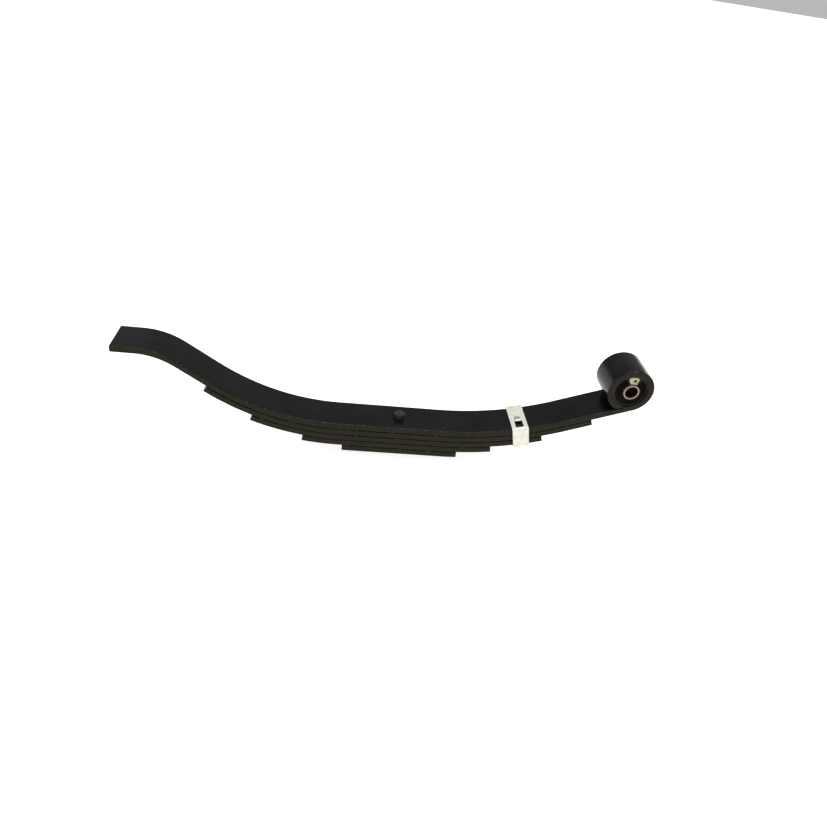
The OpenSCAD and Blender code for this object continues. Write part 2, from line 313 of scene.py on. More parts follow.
def slipper_line():
    """The main leaf's other side, with the slipper end bent back to level."""
    seat, bend_r, angle = SLIP_SIDE
    line = leaf_line(0, SLIP_SIDE, seat + (bend_r + LEAF_T / 2) * angle + SLIP_RUN)
    top, low, s0 = line[-1]
    up = ((top[0] - low[0]) / LEAF_T, (top[1] - low[1]) / LEAF_T)
    along = (up[1], -up[0])
    centre = (top[0] - up[0] * TIP_BEND_R, top[1] - up[1] * TIP_BEND_R)
    bend_steps, run_steps = 16, 7
    for i in range(1, bend_steps + 1):
        a = angle * i / bend_steps
        way = [u * math.cos(a) + v * math.sin(a) for u, v in zip(up, along)]
        outer, inner = [(centre[0] + r * way[0], centre[1] + r * way[1])
                        for r in (TIP_BEND_R, TIP_BEND_R - LEAF_T)]
        line.append((outer, inner, s0 + a * (TIP_BEND_R - LEAF_T / 2)))
    top, low, s0 = line[-1]
    for i in range(1, run_steps + 1):
        x = TIP_RUN * i / run_steps
        line.append(((top[0] + x, top[1]), (low[0] + x, low[1]), s0 + x))
    return line


def leaf_half(b, line, leaf, sense, closed):
    """Half of a leaf, from the bolt's axis outwards. sense is 1 towards the eye and -1 towards the
    slipper end, and closed adds the wall on the bolt's plane."""
    flip = sense < 0
    tops, lows = [p[0] for p in line], [p[1] for p in line]
    top_ns = left_normals(tops)
    low_ns = [(-n[0], -n[1]) for n in left_normals(lows)]

    def put(point, across, direction=False):
        place = (sense * point[0], across, point[1])
        return unit(place) if direction else place

    def ring(top, low, top_n, low_n, distance, **extra):
        return strip_ring(top, low, top_n, low_n, LEAF_W / 2, EDGE_R, LEAF_COLUMNS, put,
                          sense * distance + FLOW_SHIFT * leaf, **extra)

    rings = [ring(tops[i], lows[i], top_ns[i], low_ns[i], line[i][2]) for i in range(len(line) - 1)]
    # the square-cut end, with its edges just broken
    (t0, l0, _), (t1, l1, s1) = line[-2], line[-1]
    ahead = unit((t1[0] + l1[0] - t0[0] - l0[0], t1[1] + l1[1] - t0[1] - l0[1]))
    out = put(ahead, 0.0, True)
    bevel = min(END_BEVEL, 0.3 * math.dist(t1, l1))
    for k in range(EDGE_STEPS + 1):
        a = QUARTER * k / EDGE_STEPS
        back = bevel * (1 - math.sin(a))
        top, low = [(p[0] - ahead[0] * back, p[1] - ahead[1] * back) for p in (t1, l1)]
        rings.append(ring(top, low, top_ns[-1], low_ns[-1], s1 - back,
                          inset=bevel * (1 - math.cos(a)), lean=(a, out) if k else None))
    for first, second in zip(rings, rings[1:]):
        join_rings(b, first, second, flip)
    cap_ring(b, rings[-1], out, flip)

    start, mid = [ring((x, tops[0][1]), (x, lows[0][1]), (0, 1), (0, -1), x)
                  for x in (0.0, HOLE_REGION / 2)]
    hole_half(b, (start, mid, rings[0]), (tops[0][1], lows[0][1]), leaf, sense, closed)


def hole_half(b, rings, heights, leaf, sense, closed):
    """The leaf's flat middle over three rings, with half of the bolt hole."""
    flip = sense < 0
    start, mid, far = rings
    n = len(start)
    left, right, flats = flat_columns(start, LEAF_COLUMNS)
    join_rings(b, start, mid, flip, flats)
    join_rings(b, mid, far, flip, flats)
    rims = []
    for below, z in enumerate(heights):
        order = range(n - 1, -1, -1) if below else range(n)
        outer = [start[order[left]], mid[order[left]]]
        outer += [far[order[j]] for j in range(left, right + 1)]
        outer += [mid[order[right]], start[order[right]]]
        up = (0, 0, -1 if below else 1)
        rim = []
        for i in range(len(outer)):
            a = -QUARTER + math.pi * i / (len(outer) - 1)
            x, y = HOLE_R * math.cos(a), HOLE_R * math.sin(a)
            rim.append(((sense * x, y, z), up, (sense * x + FLOW_SHIFT * leaf, y, 0), 0.0))
        join_rings(b, outer, rim, flip == bool(below), skip=(len(outer) - 1,), normal=up)
        rims.append(rim)
    upper, lower = [[(place, unit((-place[0], -place[1], 0)), flow, edge)
                     for place, _, flow, edge in rim] for rim in rims]
    join_rings(b, upper, lower, not flip, skip=(len(upper) - 1,))
    if closed:
        above, beneath = start[:n // 2], start[:n // 2 - 1:-1]
        for one, other in ((above[:left + 1] + upper[:1], beneath[:left + 1] + lower[:1]),
                           (upper[-1:] + above[right:], lower[-1:] + beneath[right:])):
            join_rings(b, one, other, not flip, skip=(len(one) - 1,), normal=(-sense, 0, 0))


# ---- turned pieces ----
def rounded(points, radii, steps=4):
    """A line of 2D points with its corners rounded."""
    found = []
    for i, p in enumerate(points):
        r = radii[i]
        if not r or i in (0, len(points) - 1):
            found.append(p)
            continue
        u, v = unit(minus(points[i - 1], p)), unit(minus(points[i + 1], p))
        half = math.acos(max(-1, min(1, u[0] * v[0] + u[1] * v[1]))) / 2
        mid = unit((u[0] + v[0], u[1] + v[1]))
        centre = (p[0] + mid[0] * r / math.sin(half), p[1] + mid[1] * r / math.sin(half))
        start, end = [(p[0] + w[0] * r / math.tan(half), p[1] + w[1] * r / math.tan(half)) for w in (u, v)]
        a0 = math.atan2(start[1] - centre[1], start[0] - centre[0])
        a1 = math.atan2(end[1] - centre[1], end[0] - centre[0])
        # the short way round
        a1 = a0 + (a1 - a0 + math.pi) % TAU - math.pi
        for k in range(steps + 1):
            w = a0 + (a1 - a0) * k / steps
            found.append((centre[0] + r * math.cos(w), centre[1] + r * math.sin(w)))
    return found


def skin(b, grid, loop=False, flip=False, skip=None, edge=None):
    """Faces over rows of points; every row is closed, and loop also joins the last row to the first.
    skip(row, column) leaves a face out, and edge(row, column) is the corner's edge value."""
    rows, cols = len(grid), len(grid[0])

    def at(j, i):
        j = j % rows if loop else min(max(j, 0), rows - 1)
        return grid[j][i % cols]

    corners = []
    for j in range(rows):
        line = []
        for i in range(cols):
            p = grid[j][i]
            around, over = minus(at(j, i + 1), at(j, i - 1)), minus(at(j + 1, i), at(j - 1, i))
            n = cross(around, over)
            if sum(c * c for c in n) < 1e-16:
                # a row that is one point takes its direction from the row beside it
                k = j + 1 if j == 0 else j - 1
                n = cross(minus(at(k, i + 1), at(k, i - 1)), over)
            n = unit(n)
            if flip:
                n = tuple(-c for c in n)
            line.append((p, n, p, edge(j, i) if edge else 0.0))
        corners.append(line)
    for j in range(rows if loop else rows - 1):
        for i in range(cols):
            if skip and skip(j, i):
                continue
            k, m = (j + 1) % rows, (i + 1) % cols
            b.face([corners[j][i], corners[j][m], corners[k][m], corners[k][i]], flip)
    return corners


def eye_place(r, a, w):
    """A place in the bush: radius, angle clockwise from +Z seen from -Y, and distance towards -Y."""
    return (EYE_X + r * math.sin(a), -w, EYE_Z + r * math.cos(a))


def bush_ring(name, profile, cols=128, bore_shade_r=0.0):
    """A ring turned about the eye's axis from a closed line of (radius, distance towards -Y).
    Below the given shade radius its edge value is 1, which the sleeve's material paints as shade in the
    bore."""
    b = Build()
    grid = [[eye_place(r, TAU * i / cols, w) for i in range(cols)] for r, w in profile]
    skin(b, grid, loop=True, edge=lambda j, i: 1.0 if profile[j][0] < bore_shade_r else 0.0)
    return b.make(name)


# ---- materials ----
class Nodes:
    """Short calls for adding nodes to a tree and joining them."""

    def __init__(self, tree):
        self.tree = tree

    def plug(self, socket, value):
        if isinstance(value, bpy.types.NodeSocket):
            self.tree.links.new(value, socket)
        else:
            socket.default_value = value

    def node(self, kind, inputs=None, **settings):
        made = self.tree.nodes.new(kind)
        for key, value in settings.items():
            setattr(made, key, value)
        for key, value in (inputs or {}).items():
            self.plug(made.inputs[key], value)
        return made

    def math(self, kind, a, b=0.0):
        return self.node("ShaderNodeMath", {0: a, 1: b}, operation=kind).outputs[0]

    def times(self, a, b):
        return self.math("MULTIPLY", a, b)

    def plus(self, a, b):
        return self.math("ADD", a, b)

    def ramp(self, value, low, high, start=0.0, end=1.0, kind="LINEAR"):
        """Goes from start to end while the value goes from low to high."""
        inputs = dict(enumerate((value, low, high, start, end)))
        return self.node("ShaderNodeMapRange", inputs, interpolation_type=kind).outputs[0]

    def axis(self, vector, axis):
        return self.node("ShaderNodeSeparateXYZ", {0: vector}).outputs[axis]

    def noise(self, vector, scale, detail=3.0, rough=0.55):
        inputs = {"Vector": vector, "Scale": scale, "Detail": detail, "Roughness": rough}
        return self.node("ShaderNodeTexNoise", inputs).outputs["Fac"]

    def cells(self, vector, scale):
        return self.node("ShaderNodeTexVoronoi", {"Vector": vector, "Scale": scale}).outputs["Distance"]

    def mix(self, amount, a, b):
        return self.node("ShaderNodeMix", {0: amount, 6: a, 7: b}, data_type="RGBA").outputs[2]

    def bump(self, height, distance, strength, under=None):
        inputs = {"Height": height, "Distance": distance, "Strength": strength}
        if under is not None:
            inputs["Normal"] = under
        return self.node("ShaderNodeBump", inputs).outputs[0]


class Shader(Nodes):
    """A material. Its patterns are in mm along the flow attribute."""

    def __init__(self, name):
        self.material = bpy.data.materials.new(name)
        self.material.use_nodes = True
        super().__init__(self.material.node_tree)

    def set(self, name, value):
        self.plug(self.tree.nodes["Principled BSDF"].inputs[name], value)

    def flow(self, scale=(1, 1, 1)):
        flow = self.node("ShaderNodeAttribute", attribute_name="flow").outputs["Vector"]
        return self.node("ShaderNodeVectorMath", {0: flow, 1: scale}, operation="MULTIPLY").outputs[0]

    def edge(self):
        return self.node("ShaderNodeAttribute", attribute_name="edge").outputs["Fac"]

    def surface(self, pattern, low, high, relief, distance, strength, under=None):
        """Sets the roughness, from low to high over a pattern, and the relief."""
        self.set("Roughness", self.ramp(pattern, 0.3, 0.7, low, high))
        self.set("Normal", self.bump(relief, distance, strength, under))
        return self.material

    def facing(self, axis):
        """The surface normal's part along X, Y or Z, from -1 to 1."""
        return self.axis(self.node("ShaderNodeNewGeometry").outputs["Normal"], axis)


def rgb(r, g, b):
    return (r, g, b, 1.0)


def leaf_paint():
    """Black paint: dusty on the flats, an oily film on the sides, worn edges and a few pale specks."""
    s = Shader("leaf_paint")
    near, long = s.flow(), s.flow((0.06, 1, 1))
    patches = s.noise(near, 0.022, 3)
    mottle = s.noise(near, 0.35, 5, 0.6)
    streaks = s.noise(long, 0.8, 4, 0.6)
    fine = s.noise(near, 2.4, 3)
    dust = s.times(s.ramp(patches, 0.42, 0.68), s.ramp(mottle, 0.35, 0.7))
    colour = s.mix(dust, rgb(0.0022, 0.0023, 0.0026), rgb(0.0075, 0.0074, 0.0068))
    colour = s.mix(s.times(s.ramp(streaks, 0.5, 0.75), 0.5), colour, rgb(0.007, 0.007, 0.007))
    side = s.math("ABSOLUTE", s.facing(1))
    side = s.times(s.ramp(side, 0.55, 0.95), s.ramp(streaks, 0.25, 0.6, 0.45, 1.0))
    oil = s.ramp(s.noise(s.flow((0.25, 1, 1)), 0.05, 4, 0.6), 0.42, 0.60)
    film = s.mix(oil, rgb(0.0088, 0.0090, 0.0006), rgb(0.0125, 0.0092, 0.0015))
    colour = s.mix(side, colour, film)
    worn = s.times(s.edge(), s.ramp(s.noise(near, 0.16, 5, 0.65), 0.50, 0.66))
    colour = s.mix(s.times(worn, 0.8), colour, rgb(0.050, 0.045, 0.033))
    specks = s.ramp(s.cells(near, 0.16), 0.028, 0.05, 1.0, 0.0)
    specks = s.times(specks, s.ramp(s.noise(near, 0.05, 2), 0.56, 0.60))
    colour = s.mix(specks, colour, rgb(0.25, 0.24, 0.21))
    s.set("Base Color", colour)
    rough = s.ramp(patches, 0.30, 0.70, 0.13, 0.21)
    rough = s.plus(rough, s.times(dust, 0.14))
    rough = s.plus(rough, s.times(side, 0.20))
    s.set("Roughness", rough)
    s.set("Specular IOR Level", 0.13)
    pits = s.ramp(s.noise(near, 0.55, 4, 0.6), 0.30, 0.42)
    relief = s.plus(s.times(fine, 0.35), s.times(pits, 0.8))
    relief = s.plus(relief, s.times(streaks, 0.9))
    s.set("Normal", s.bump(relief, 0.00005, 0.45))
    return s.material


def bolt_steel():
    """Blackened steel, lighter and partly metallic in patches on its upward faces and along its worn edges.
    """
    s = Shader("bolt_steel")
    near = s.flow()
    mottle = s.noise(near, 0.9, 4, 0.6)
    # lighter, partly metallic patches on the faces that point upwards, chosen by the normal's direction
    top = s.ramp(s.facing(2), 0.6, 0.95)
    pale_patches = s.times(top, s.ramp(mottle, 0.42, 0.62))
    pale_patches = s.math("MAXIMUM", pale_patches, s.times(s.edge(), s.ramp(mottle, 0.45, 0.6)))
    tone = s.ramp(s.noise(near, 0.3, 3), 0.35, 0.65)
    colour = s.mix(tone, rgb(0.0015, 0.0015, 0.0015), rgb(0.0045, 0.0042, 0.0035))
    s.set("Base Color", s.mix(pale_patches, colour, rgb(0.070, 0.070, 0.066)))
    s.set("Metallic", s.times(pale_patches, 0.4))
    s.set("Specular IOR Level", 0.12)
    return s.surface(mottle, 0.34, 0.55, s.noise(near, 2.2, 4), 0.00008, 0.6)


def clip_zinc():
    """Pale zinc, brushed along the strap. Edge values below 0 are painted shade, down to near black at -1,
    inside the slot and on the tongue; edge values above 0 are worn edges, and on the tongue's bend a
    painted highlight.
    """
    s = Shader("clip_zinc")
    near, brushed = s.flow(), s.flow((0.12, 1.6, 1.6))
    lines = s.noise(brushed, 2.2, 4, 0.65)
    stain = s.noise(near, 0.14, 4, 0.6)
    colour = s.mix(s.ramp(stain, 0.4, 0.7), rgb(0.72, 0.715, 0.63), rgb(0.58, 0.575, 0.50))
    colour = s.mix(s.times(s.ramp(lines, 0.52, 0.75), 0.35), colour, rgb(0.50, 0.50, 0.46))
    # lighter where the edge value is above 0: worn edges, and on the tongue's bend a painted highlight
    worn = s.times(s.edge(), s.ramp(s.noise(near, 0.5, 3), 0.35, 0.6))
    colour = s.mix(s.times(worn, 0.5), colour, rgb(0.92, 0.92, 0.90))
    # painted shade: edge values from 0 down to -1 darken towards near black
    painted_shade = s.ramp(s.edge(), -1.0, 0.0, 1.0, 0.0)
    s.set("Base Color", s.mix(painted_shade, colour, rgb(0.006, 0.006, 0.004)))
    s.set("Metallic", 0.35)
    return s.surface(lines, 0.34, 0.5, lines, 0.00005, 0.5, s.bump(s.noise(near, 0.12, 2), 0.0006, 0.25))


def shell_steel():
    """The bush shell's dull steel."""
    s = Shader("shell_steel")
    near = s.flow()
    mottle = s.noise(near, 0.5, 5, 0.6)
    colour = s.mix(s.ramp(mottle, 0.35, 0.65), rgb(0.006, 0.0055, 0.004), rgb(0.018, 0.016, 0.011))
    s.set("Base Color", s.mix(s.times(s.edge(), 0.6), colour, rgb(0.07, 0.062, 0.048)))
    s.set("Metallic", 0.4)
    return s.surface(mottle, 0.38, 0.6, s.noise(near, 1.6, 4), 0.00008, 0.6)


def bush_rubber():
    """Black rubber with dirt and rust spots. The edge value is the stain round the paint dab."""
    s = Shader("bush_rubber")
    near = s.flow()
    dirt = s.noise(near, 0.28, 5, 0.65)
    grain = s.noise(near, 2.6, 4, 0.6)
    colour = s.mix(s.ramp(dirt, 0.42, 0.62), rgb(0.0008, 0.0003, 0.0002), rgb(0.0036, 0.0024, 0.0010))
    rust = s.ramp(s.noise(near, 0.75, 3), 0.54, 0.62)
    colour = s.mix(s.times(rust, 0.7), colour, rgb(0.016, 0.0035, 0.0022))
    stain = s.times(s.edge(), s.ramp(dirt, 0.35, 0.6, 0.35, 1.0))
    colour = s.mix(stain, colour, rgb(0.085, 0.075, 0.028))
    s.set("Base Color", colour)
    s.set("Specular IOR Level", 0.05)
    return s.surface(grain, 0.50, 0.75, s.plus(s.times(grain, 0.5), dirt), 0.00018, 0.8)


def sleeve_steel():
    """Light, faintly rusty steel, with painted shade in the bore, where the edge value is 1."""
    s = Shader("sleeve_steel")
    near = s.flow()
    mottle = s.noise(near, 0.6, 5, 0.6)
    colour = s.mix(s.ramp(mottle, 0.35, 0.65), rgb(0.20, 0.150, 0.115), rgb(0.34, 0.275, 0.220))
    rust = s.ramp(s.noise(near, 0.9, 4), 0.58, 0.70)
    colour = s.mix(s.times(rust, 0.6), colour, rgb(0.14, 0.075, 0.045))
    # painted shade: the bore (edge value 1) is mixed to near black
    s.set("Base Color", s.mix(s.edge(), colour, rgb(0.012, 0.011, 0.010)))
    s.set("Metallic", 0.45)
    return s.surface(mottle, 0.36, 0.55, s.noise(near, 2.0, 4), 0.00006, 0.6)


def dab_paint():
    """Pale yellow-green paint, darker at its edge."""
    s = Shader("dab_paint")
    near = s.flow()
    mottle = s.noise(near, 0.45, 4, 0.6)
    colour = s.mix(s.ramp(mottle, 0.35, 0.65), rgb(0.50, 0.50, 0.345), rgb(0.36, 0.35, 0.205))
    s.set("Base Color", s.mix(s.times(s.edge(), 0.75), colour, rgb(0.16, 0.15, 0.06)))
    return s.surface(mottle, 0.38, 0.55, s.noise(near, 1.1, 4), 0.00015, 0.6)


def floor_finish():
    """White studio floor, which gives some light of its own."""
    s = Shader("floor_finish")
    c = s.node("ShaderNodeTexCoord").outputs["Object"]
    tone = s.noise(c, 3.0, 2)
    s.set("Base Color", s.mix(tone, rgb(0.50, 0.50, 0.50), rgb(0.54, 0.54, 0.535)))
    s.set("Roughness", s.ramp(tone, 0.3, 0.7, 0.75, 0.85))
    s.set("Specular IOR Level", 0.1)
    s.set("Emission Color", rgb(1.0, 1.0, 0.995))
    s.set("Emission Strength", 0.88)
    return s.material


PAINT, BOLT, ZINC = leaf_paint(), bolt_steel(), clip_zinc()
SHELL, RUBBER, SLEEVE, DAB = shell_steel(), bush_rubber(), sleeve_steel(), dab_paint()


def finish_piece(obj, material, slot, body=None, arm=None, stands_for=()):
    """Gives a piece its material, parents a piece on a body to that body's empty or bakes the transform of
    a piece on an arm, and hides the CAD nodes that it stands for.
    """
    obj.data.materials.append(material)
    if arm:
        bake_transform(obj)
    else:
        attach(obj, body)
    if stands_for:
        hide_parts(*stands_for)
    return obj


# ---- the leaves: the three long ones are built in halves, the two short ones stay with the seat ----
def leaf_piece(name, leaf, halves, **rest):
    b = Build()
    for line, sense in halves:
        leaf_half(b, line, leaf, sense, closed=len(halves) == 1)
    finish_piece(b.make(name), PAINT, "leaf_paint", **rest)


lines = {"main": (0, eye_line(), slipper_line())}
for name, (leaf, eye_len, slip_len) in SHORTER.items():
    lines[name] = (leaf, leaf_line(leaf, EYE_SIDE, eye_len), leaf_line(leaf, SLIP_SIDE, slip_len))
for name, (leaf, eye, slip) in lines.items():
    if leaf < LONG_LEAVES:
        leaf_piece(name + "_leaf_eye_half", leaf, [(eye, 1)], arm="eye_arm",
                   stands_for=(name + "_leaf_seat", name + "_leaf_eye_arm"))
        leaf_piece(name + "_leaf_slipper_half", leaf, [(slip, -1)], arm="slipper_arm",
                   stands_for=(name + "_leaf_slipper_arm",))
    else:
        leaf_piece(name + "_leaf_whole", leaf, [(eye, 1), (slip, -1)], body="seat",
                   stands_for=(name + "_leaf",))


# ---- centre bolt, with a turned head and a threaded tail ----
def thread_depth(z, a):
    """How far the thread lies below the bolt's surface: a flat crest, two flanks and a flat root."""
    phase = (z / THREAD_PITCH - a / TAU) % 1.0
    depth = 1.25 * (1 - abs(2 * phase - 1)) - 0.12
    return THREAD_DEPTH * min(1.0, max(0.0, depth))


def centre_bolt():
    b = Build()
    cols, shank_rows, shank_step, thread_step = 64, 10, 3.6, 0.16
    low = -STACK_H - NUT_H - BOLT_TAIL
    head = [(0, HEAD_H), (3.0, HEAD_H - 0.02), (HEAD_R - 0.8, HEAD_H - 0.12), (HEAD_R, HEAD_H - 0.95),
            (HEAD_R, 0.02), (BOLT_R, 0.0), (BOLT_R, -1.0)]
    profile = rounded(head, [0, 0, 0.35, 0.35, 0.3, 0, 0])
    profile += [(BOLT_R, -4.0 - shank_step * i) for i in range(shank_rows)]
    first_thread_row = len(profile)
    rows = round((THREAD_TOP - low) / thread_step)
    profile += [(BOLT_R, THREAD_TOP + (low - THREAD_TOP) * i / rows) for i in range(rows + 1)]
    grid = []
    for j, (r, z) in enumerate(profile):
        row = []
        for i in range(cols):
            a = TAU * i / cols
            radius = r
            if j >= first_thread_row:
                radius -= min(1.0, (THREAD_TOP - z) / THREAD_FADE) * thread_depth(z, a)
                # the tail's chamfer
                radius = min(radius, BOLT_R - 0.9 + (z - low))
            row.append((radius * math.cos(a), radius * math.sin(a), z))
        grid.append(row)
    grid.append([(0.0, 0.0, low)] * cols)
    # the worn rows are the head's rounded rim
    skin(b, grid, flip=True, edge=lambda j, i: 1.0 if 6 <= j <= 12 else 0.0)
    return b.make("centre_bolt_turned")


def nut_outline():
    """The hexagon with its corners slightly rounded."""
    corner_r, corner_steps, flat_steps = 0.45, 4, 6
    reach = (NUT_AF / 2 - corner_r) / math.cos(TAU / 12)
    points = []
    for k in range(6):
        turn, following = TAU * k / 6 + TAU / 12, TAU * (k + 1) / 6 + TAU / 12
        x, y = reach * math.cos(turn), reach * math.sin(turn)
        x_next, y_next = reach * math.cos(following), reach * math.sin(following)
        for i in range(corner_steps + 1):
            a = turn + TAU / 6 * (i / corner_steps - 0.5)
            points.append((x + corner_r * math.cos(a), y + corner_r * math.sin(a)))
        out = turn + TAU / 12
        for i in range(1, flat_steps):
            w = i / flat_steps
            points.append((x + (x_next - x) * w + corner_r * math.cos(out),
                           y + (y_next - y) * w + corner_r * math.sin(out)))
    return points


def centre_nut():
    b = Build()
    top, low = -STACK_H, -STACK_H - NUT_H
    bore, face_r, face_lift, cone = BOLT_R + 0.05, NUT_AF / 2 - 0.35, 0.03, math.radians(30)
    # rows round the section from the lower face: "ring" has its own radius, "cone" lies along the
    # chamfer and "wall" is drawn in from the hexagon
    rows = [("ring", bore + 0.5, low), ("ring", face_r - 0.2, low), ("ring", face_r, low + face_lift)]
    rows += [("cone", offset, low) for offset in (-0.2, 0.0, 0.2)]
    rows += [("wall", 0, low + 3.2), ("wall", 0, low + 5.5), ("wall", 0, top - 0.35)]
    rows += [("wall", 0.05, top - 0.12), ("wall", 0.25, top - 0.02), ("wall", 0.5, top)]
    rows += [("ring", bore + 0.6, top), ("ring", bore, top - 0.6), ("ring", bore, (top + low) / 2),
             ("ring", bore, low + 0.5)]
    grid = []
    for kind, value, z in rows:
        row = []
        for x, y in nut_outline():
            r = math.hypot(x, y)
            radius, height = r - value, z
            if kind == "ring":
                radius = value
            elif kind == "cone":
                radius = r + min(0.0, value) * 0.9
                height = low + face_lift + (r - face_r) * math.tan(cone) + max(value, value * 0.5)
            row.append((radius * x / r, radius * y / r, height))
        grid.append(row)
    skin(b, grid, loop=True, edge=lambda j, i: 1.0 if rows[j][0] == "cone" else 0.0)
    return b.make("centre_nut_cut")


finish_piece(centre_bolt(), BOLT, "bolt_steel", body="seat", stands_for=("centre_bolt",))
finish_piece(centre_nut(), BOLT, "bolt_steel", body="seat", stands_for=("centre_nut",))


# ---- rebound clip: a strap round the three long leaves, with a slot and a tongue hooked through it ----
CLIP_TURN = (CLIP_AT - EYE_SIDE[0]) / EYE_SIDE[1]
CLIP_X = EYE_SIDE[0] + EYE_SIDE[1] * math.sin(CLIP_TURN)
CLIP_Z = EYE_SIDE[1] * (1 - math.cos(CLIP_TURN))
# the strap's inner faces, measured across the leaf and up from its top
STRAP_SIDE, STRAP_TOP, STRAP_LOW = LEAF_W / 2 + CLIP_CLEAR, CLIP_CLEAR, -CLIPPED_H - CLIP_CLEAR
STRAP_EDGE_R, STRAP_FLAT = 0.5, STRAP_SIDE - CLIP_BEND_R
SLOT_FRONT = -(STRAP_SIDE + CLIP_T) + SLOT_EDGE
SLOT_REAR = SLOT_FRONT + SLOT_LEN
# the slot's rim is a little wider than the slot, and rows beside the slot lie just inside its ends
RIM, BESIDE = 0.3, 0.2
# the patch of the strap's top in which the slot lies: its rows, from the rear to the front bend
SLOT_ROWS = [SLOT_REAR + 4.0, SLOT_REAR - BESIDE, SLOT_REAR - SLOT_CORNER_R,
             SLOT_FRONT + SLOT_CORNER_R, SLOT_FRONT + BESIDE, -STRAP_FLAT]


def clip_place(y, h, along):
    c, d = math.cos(CLIP_TURN), math.sin(CLIP_TURN)
    return (CLIP_X + along * c - h * d, y, CLIP_Z + along * d + h * c)


def clip_put(point, across, direction=False):
    place = clip_place(point[0], point[1], across)
    return unit(minus(place, clip_place(0, 0, 0))) if direction else place


def strap_stations():
    """Points of the strap's inner line with their outward directions, and the slot's patch of them."""
    stations = []

    def straight(start, end, n, out):
        for i in range(n):
            w = i / n
            stations.append(((start[0] + (end[0] - start[0]) * w, start[1] + (end[1] - start[1]) * w), out))

    def bend(y, h, quarter, steps=8):
        for i in range(steps):
            a = QUARTER * (quarter + i / steps)
            out = (math.cos(a), math.sin(a))
            stations.append(((y + CLIP_BEND_R * out[0], h + CLIP_BEND_R * out[1]), out))

    bend_top, bend_low = STRAP_TOP - CLIP_BEND_R, STRAP_LOW + CLIP_BEND_R
    straight((STRAP_FLAT, STRAP_TOP), (SLOT_ROWS[0], STRAP_TOP), 8, (0, 1))
    first = len(stations)
    stations += [((y, STRAP_TOP), (0, 1)) for y in SLOT_ROWS[:-1]]
    last = len(stations)
    bend(-STRAP_FLAT, bend_top, 1)
    straight((-STRAP_SIDE, bend_top), (-STRAP_SIDE, bend_low), 6, (-1, 0))
    bend(-STRAP_FLAT, bend_low, 2)
    straight((-STRAP_FLAT, STRAP_LOW), (STRAP_FLAT, STRAP_LOW), 12, (0, -1))
    bend(STRAP_FLAT, bend_low, 3)
    straight((STRAP_SIDE, bend_low), (STRAP_SIDE, bend_top), 6, (1, 0))
    bend(STRAP_FLAT, bend_top, 0)
    return stations, first, last


def slot_outline(grow=0.0, steps=4):
    """The slot from above, anticlockwise from its rear edge, as (y, x, outward direction)."""
    points = []
    for to_rear, to_side, quarter in ((1, -1, 3), (-1, -1, 2), (-1, 1, 1), (1, 1, 0)):
        y = (SLOT_FRONT + SLOT_REAR) / 2 + to_rear * (SLOT_LEN / 2 - SLOT_CORNER_R)
        x = to_side * (SLOT_W / 2 - SLOT_CORNER_R)
        for i in range(steps + 1):
            # the angle is measured from +X towards -Y
            a = QUARTER * (quarter - i / steps)
            way = (-math.sin(a), math.cos(a))
            r = SLOT_CORNER_R + grow
            points.append((y + r * way[0], x + r * way[1], way))
    return points


def clip_strap():
    b = Build()
    half_w = CLIP_W / 2
    flat_w = half_w - STRAP_EDGE_R
    columns = [-1, -(SLOT_W / 2 - BESIDE) / flat_w, -(SLOT_W / 2 - SLOT_CORNER_R) / flat_w,
               (SLOT_W / 2 - SLOT_CORNER_R) / flat_w, (SLOT_W / 2 - BESIDE) / flat_w, 1]
    stations, first, last = strap_stations()
    rings, run = [], 0.0
    for i, (low, out) in enumerate(stations):
        if i:
            run += math.dist(low, stations[i - 1][0])
        top = (low[0] + out[0] * CLIP_T, low[1] + out[1] * CLIP_T)
        rings.append(strip_ring(top, low, out, (-out[0], -out[1]), half_w, STRAP_EDGE_R, columns,
                                clip_put, run))
    left, right, flats = flat_columns(rings[0], columns)
    for i, ring in enumerate(rings):
        join_rings(b, ring, rings[(i + 1) % len(rings)], skip=flats if first <= i < last else ())

    # the patch with the slot in it, on the strap's outer and inner face
    n, patch = len(rings[0]), rings[first:last + 1]
    for inner_face in (False, True):
        order = range(n - 1, -1, -1) if inner_face else range(n)
        outer = [ring[order[left]] for ring in patch[:-1]]
        outer += [patch[-1][order[j]] for j in range(left, right)]
        outer += [ring[order[right]] for ring in patch[:0:-1]]
        outer += [patch[0][order[j]] for j in range(right, left, -1)]
        h = STRAP_TOP if inner_face else STRAP_TOP + CLIP_T
        up = clip_put((0, -1 if inner_face else 1), 0.0, True)
        outline = slot_outline(0.0 if inner_face else RIM)
        # the outline starts at the rear corner on the -X side, half way round its arc
        rim = [(clip_place(y, h, x), up, (run, x, 0), 0.0) for y, x, _ in outline[2:] + outline[:2]]
        join_rings(b, outer, rim, not inner_face, normal=up)

    # the slot's walls: a broken rim, worn on top, and painted shade below it (an edge value of -1)
    outside = STRAP_TOP + CLIP_T
    walls = []
    for grow, h, tilt, edge in ((RIM, outside, 1.05, 1.0), (0.0, outside - RIM, 0.28, 1.0),
                                (0.0, outside - 0.7, 0.07, -1.0), (0.0, STRAP_TOP, 0.0, -1.0)):
        walls.append([(clip_place(y, h, x), clip_put((-way[0], tilt), -way[1], True), (run, x, h), edge)
                      for y, x, way in slot_outline(grow)])
    for above, below in zip(walls, walls[1:]):
        join_rings(b, above, below, True)
    return b.make("rebound_clip_strap")


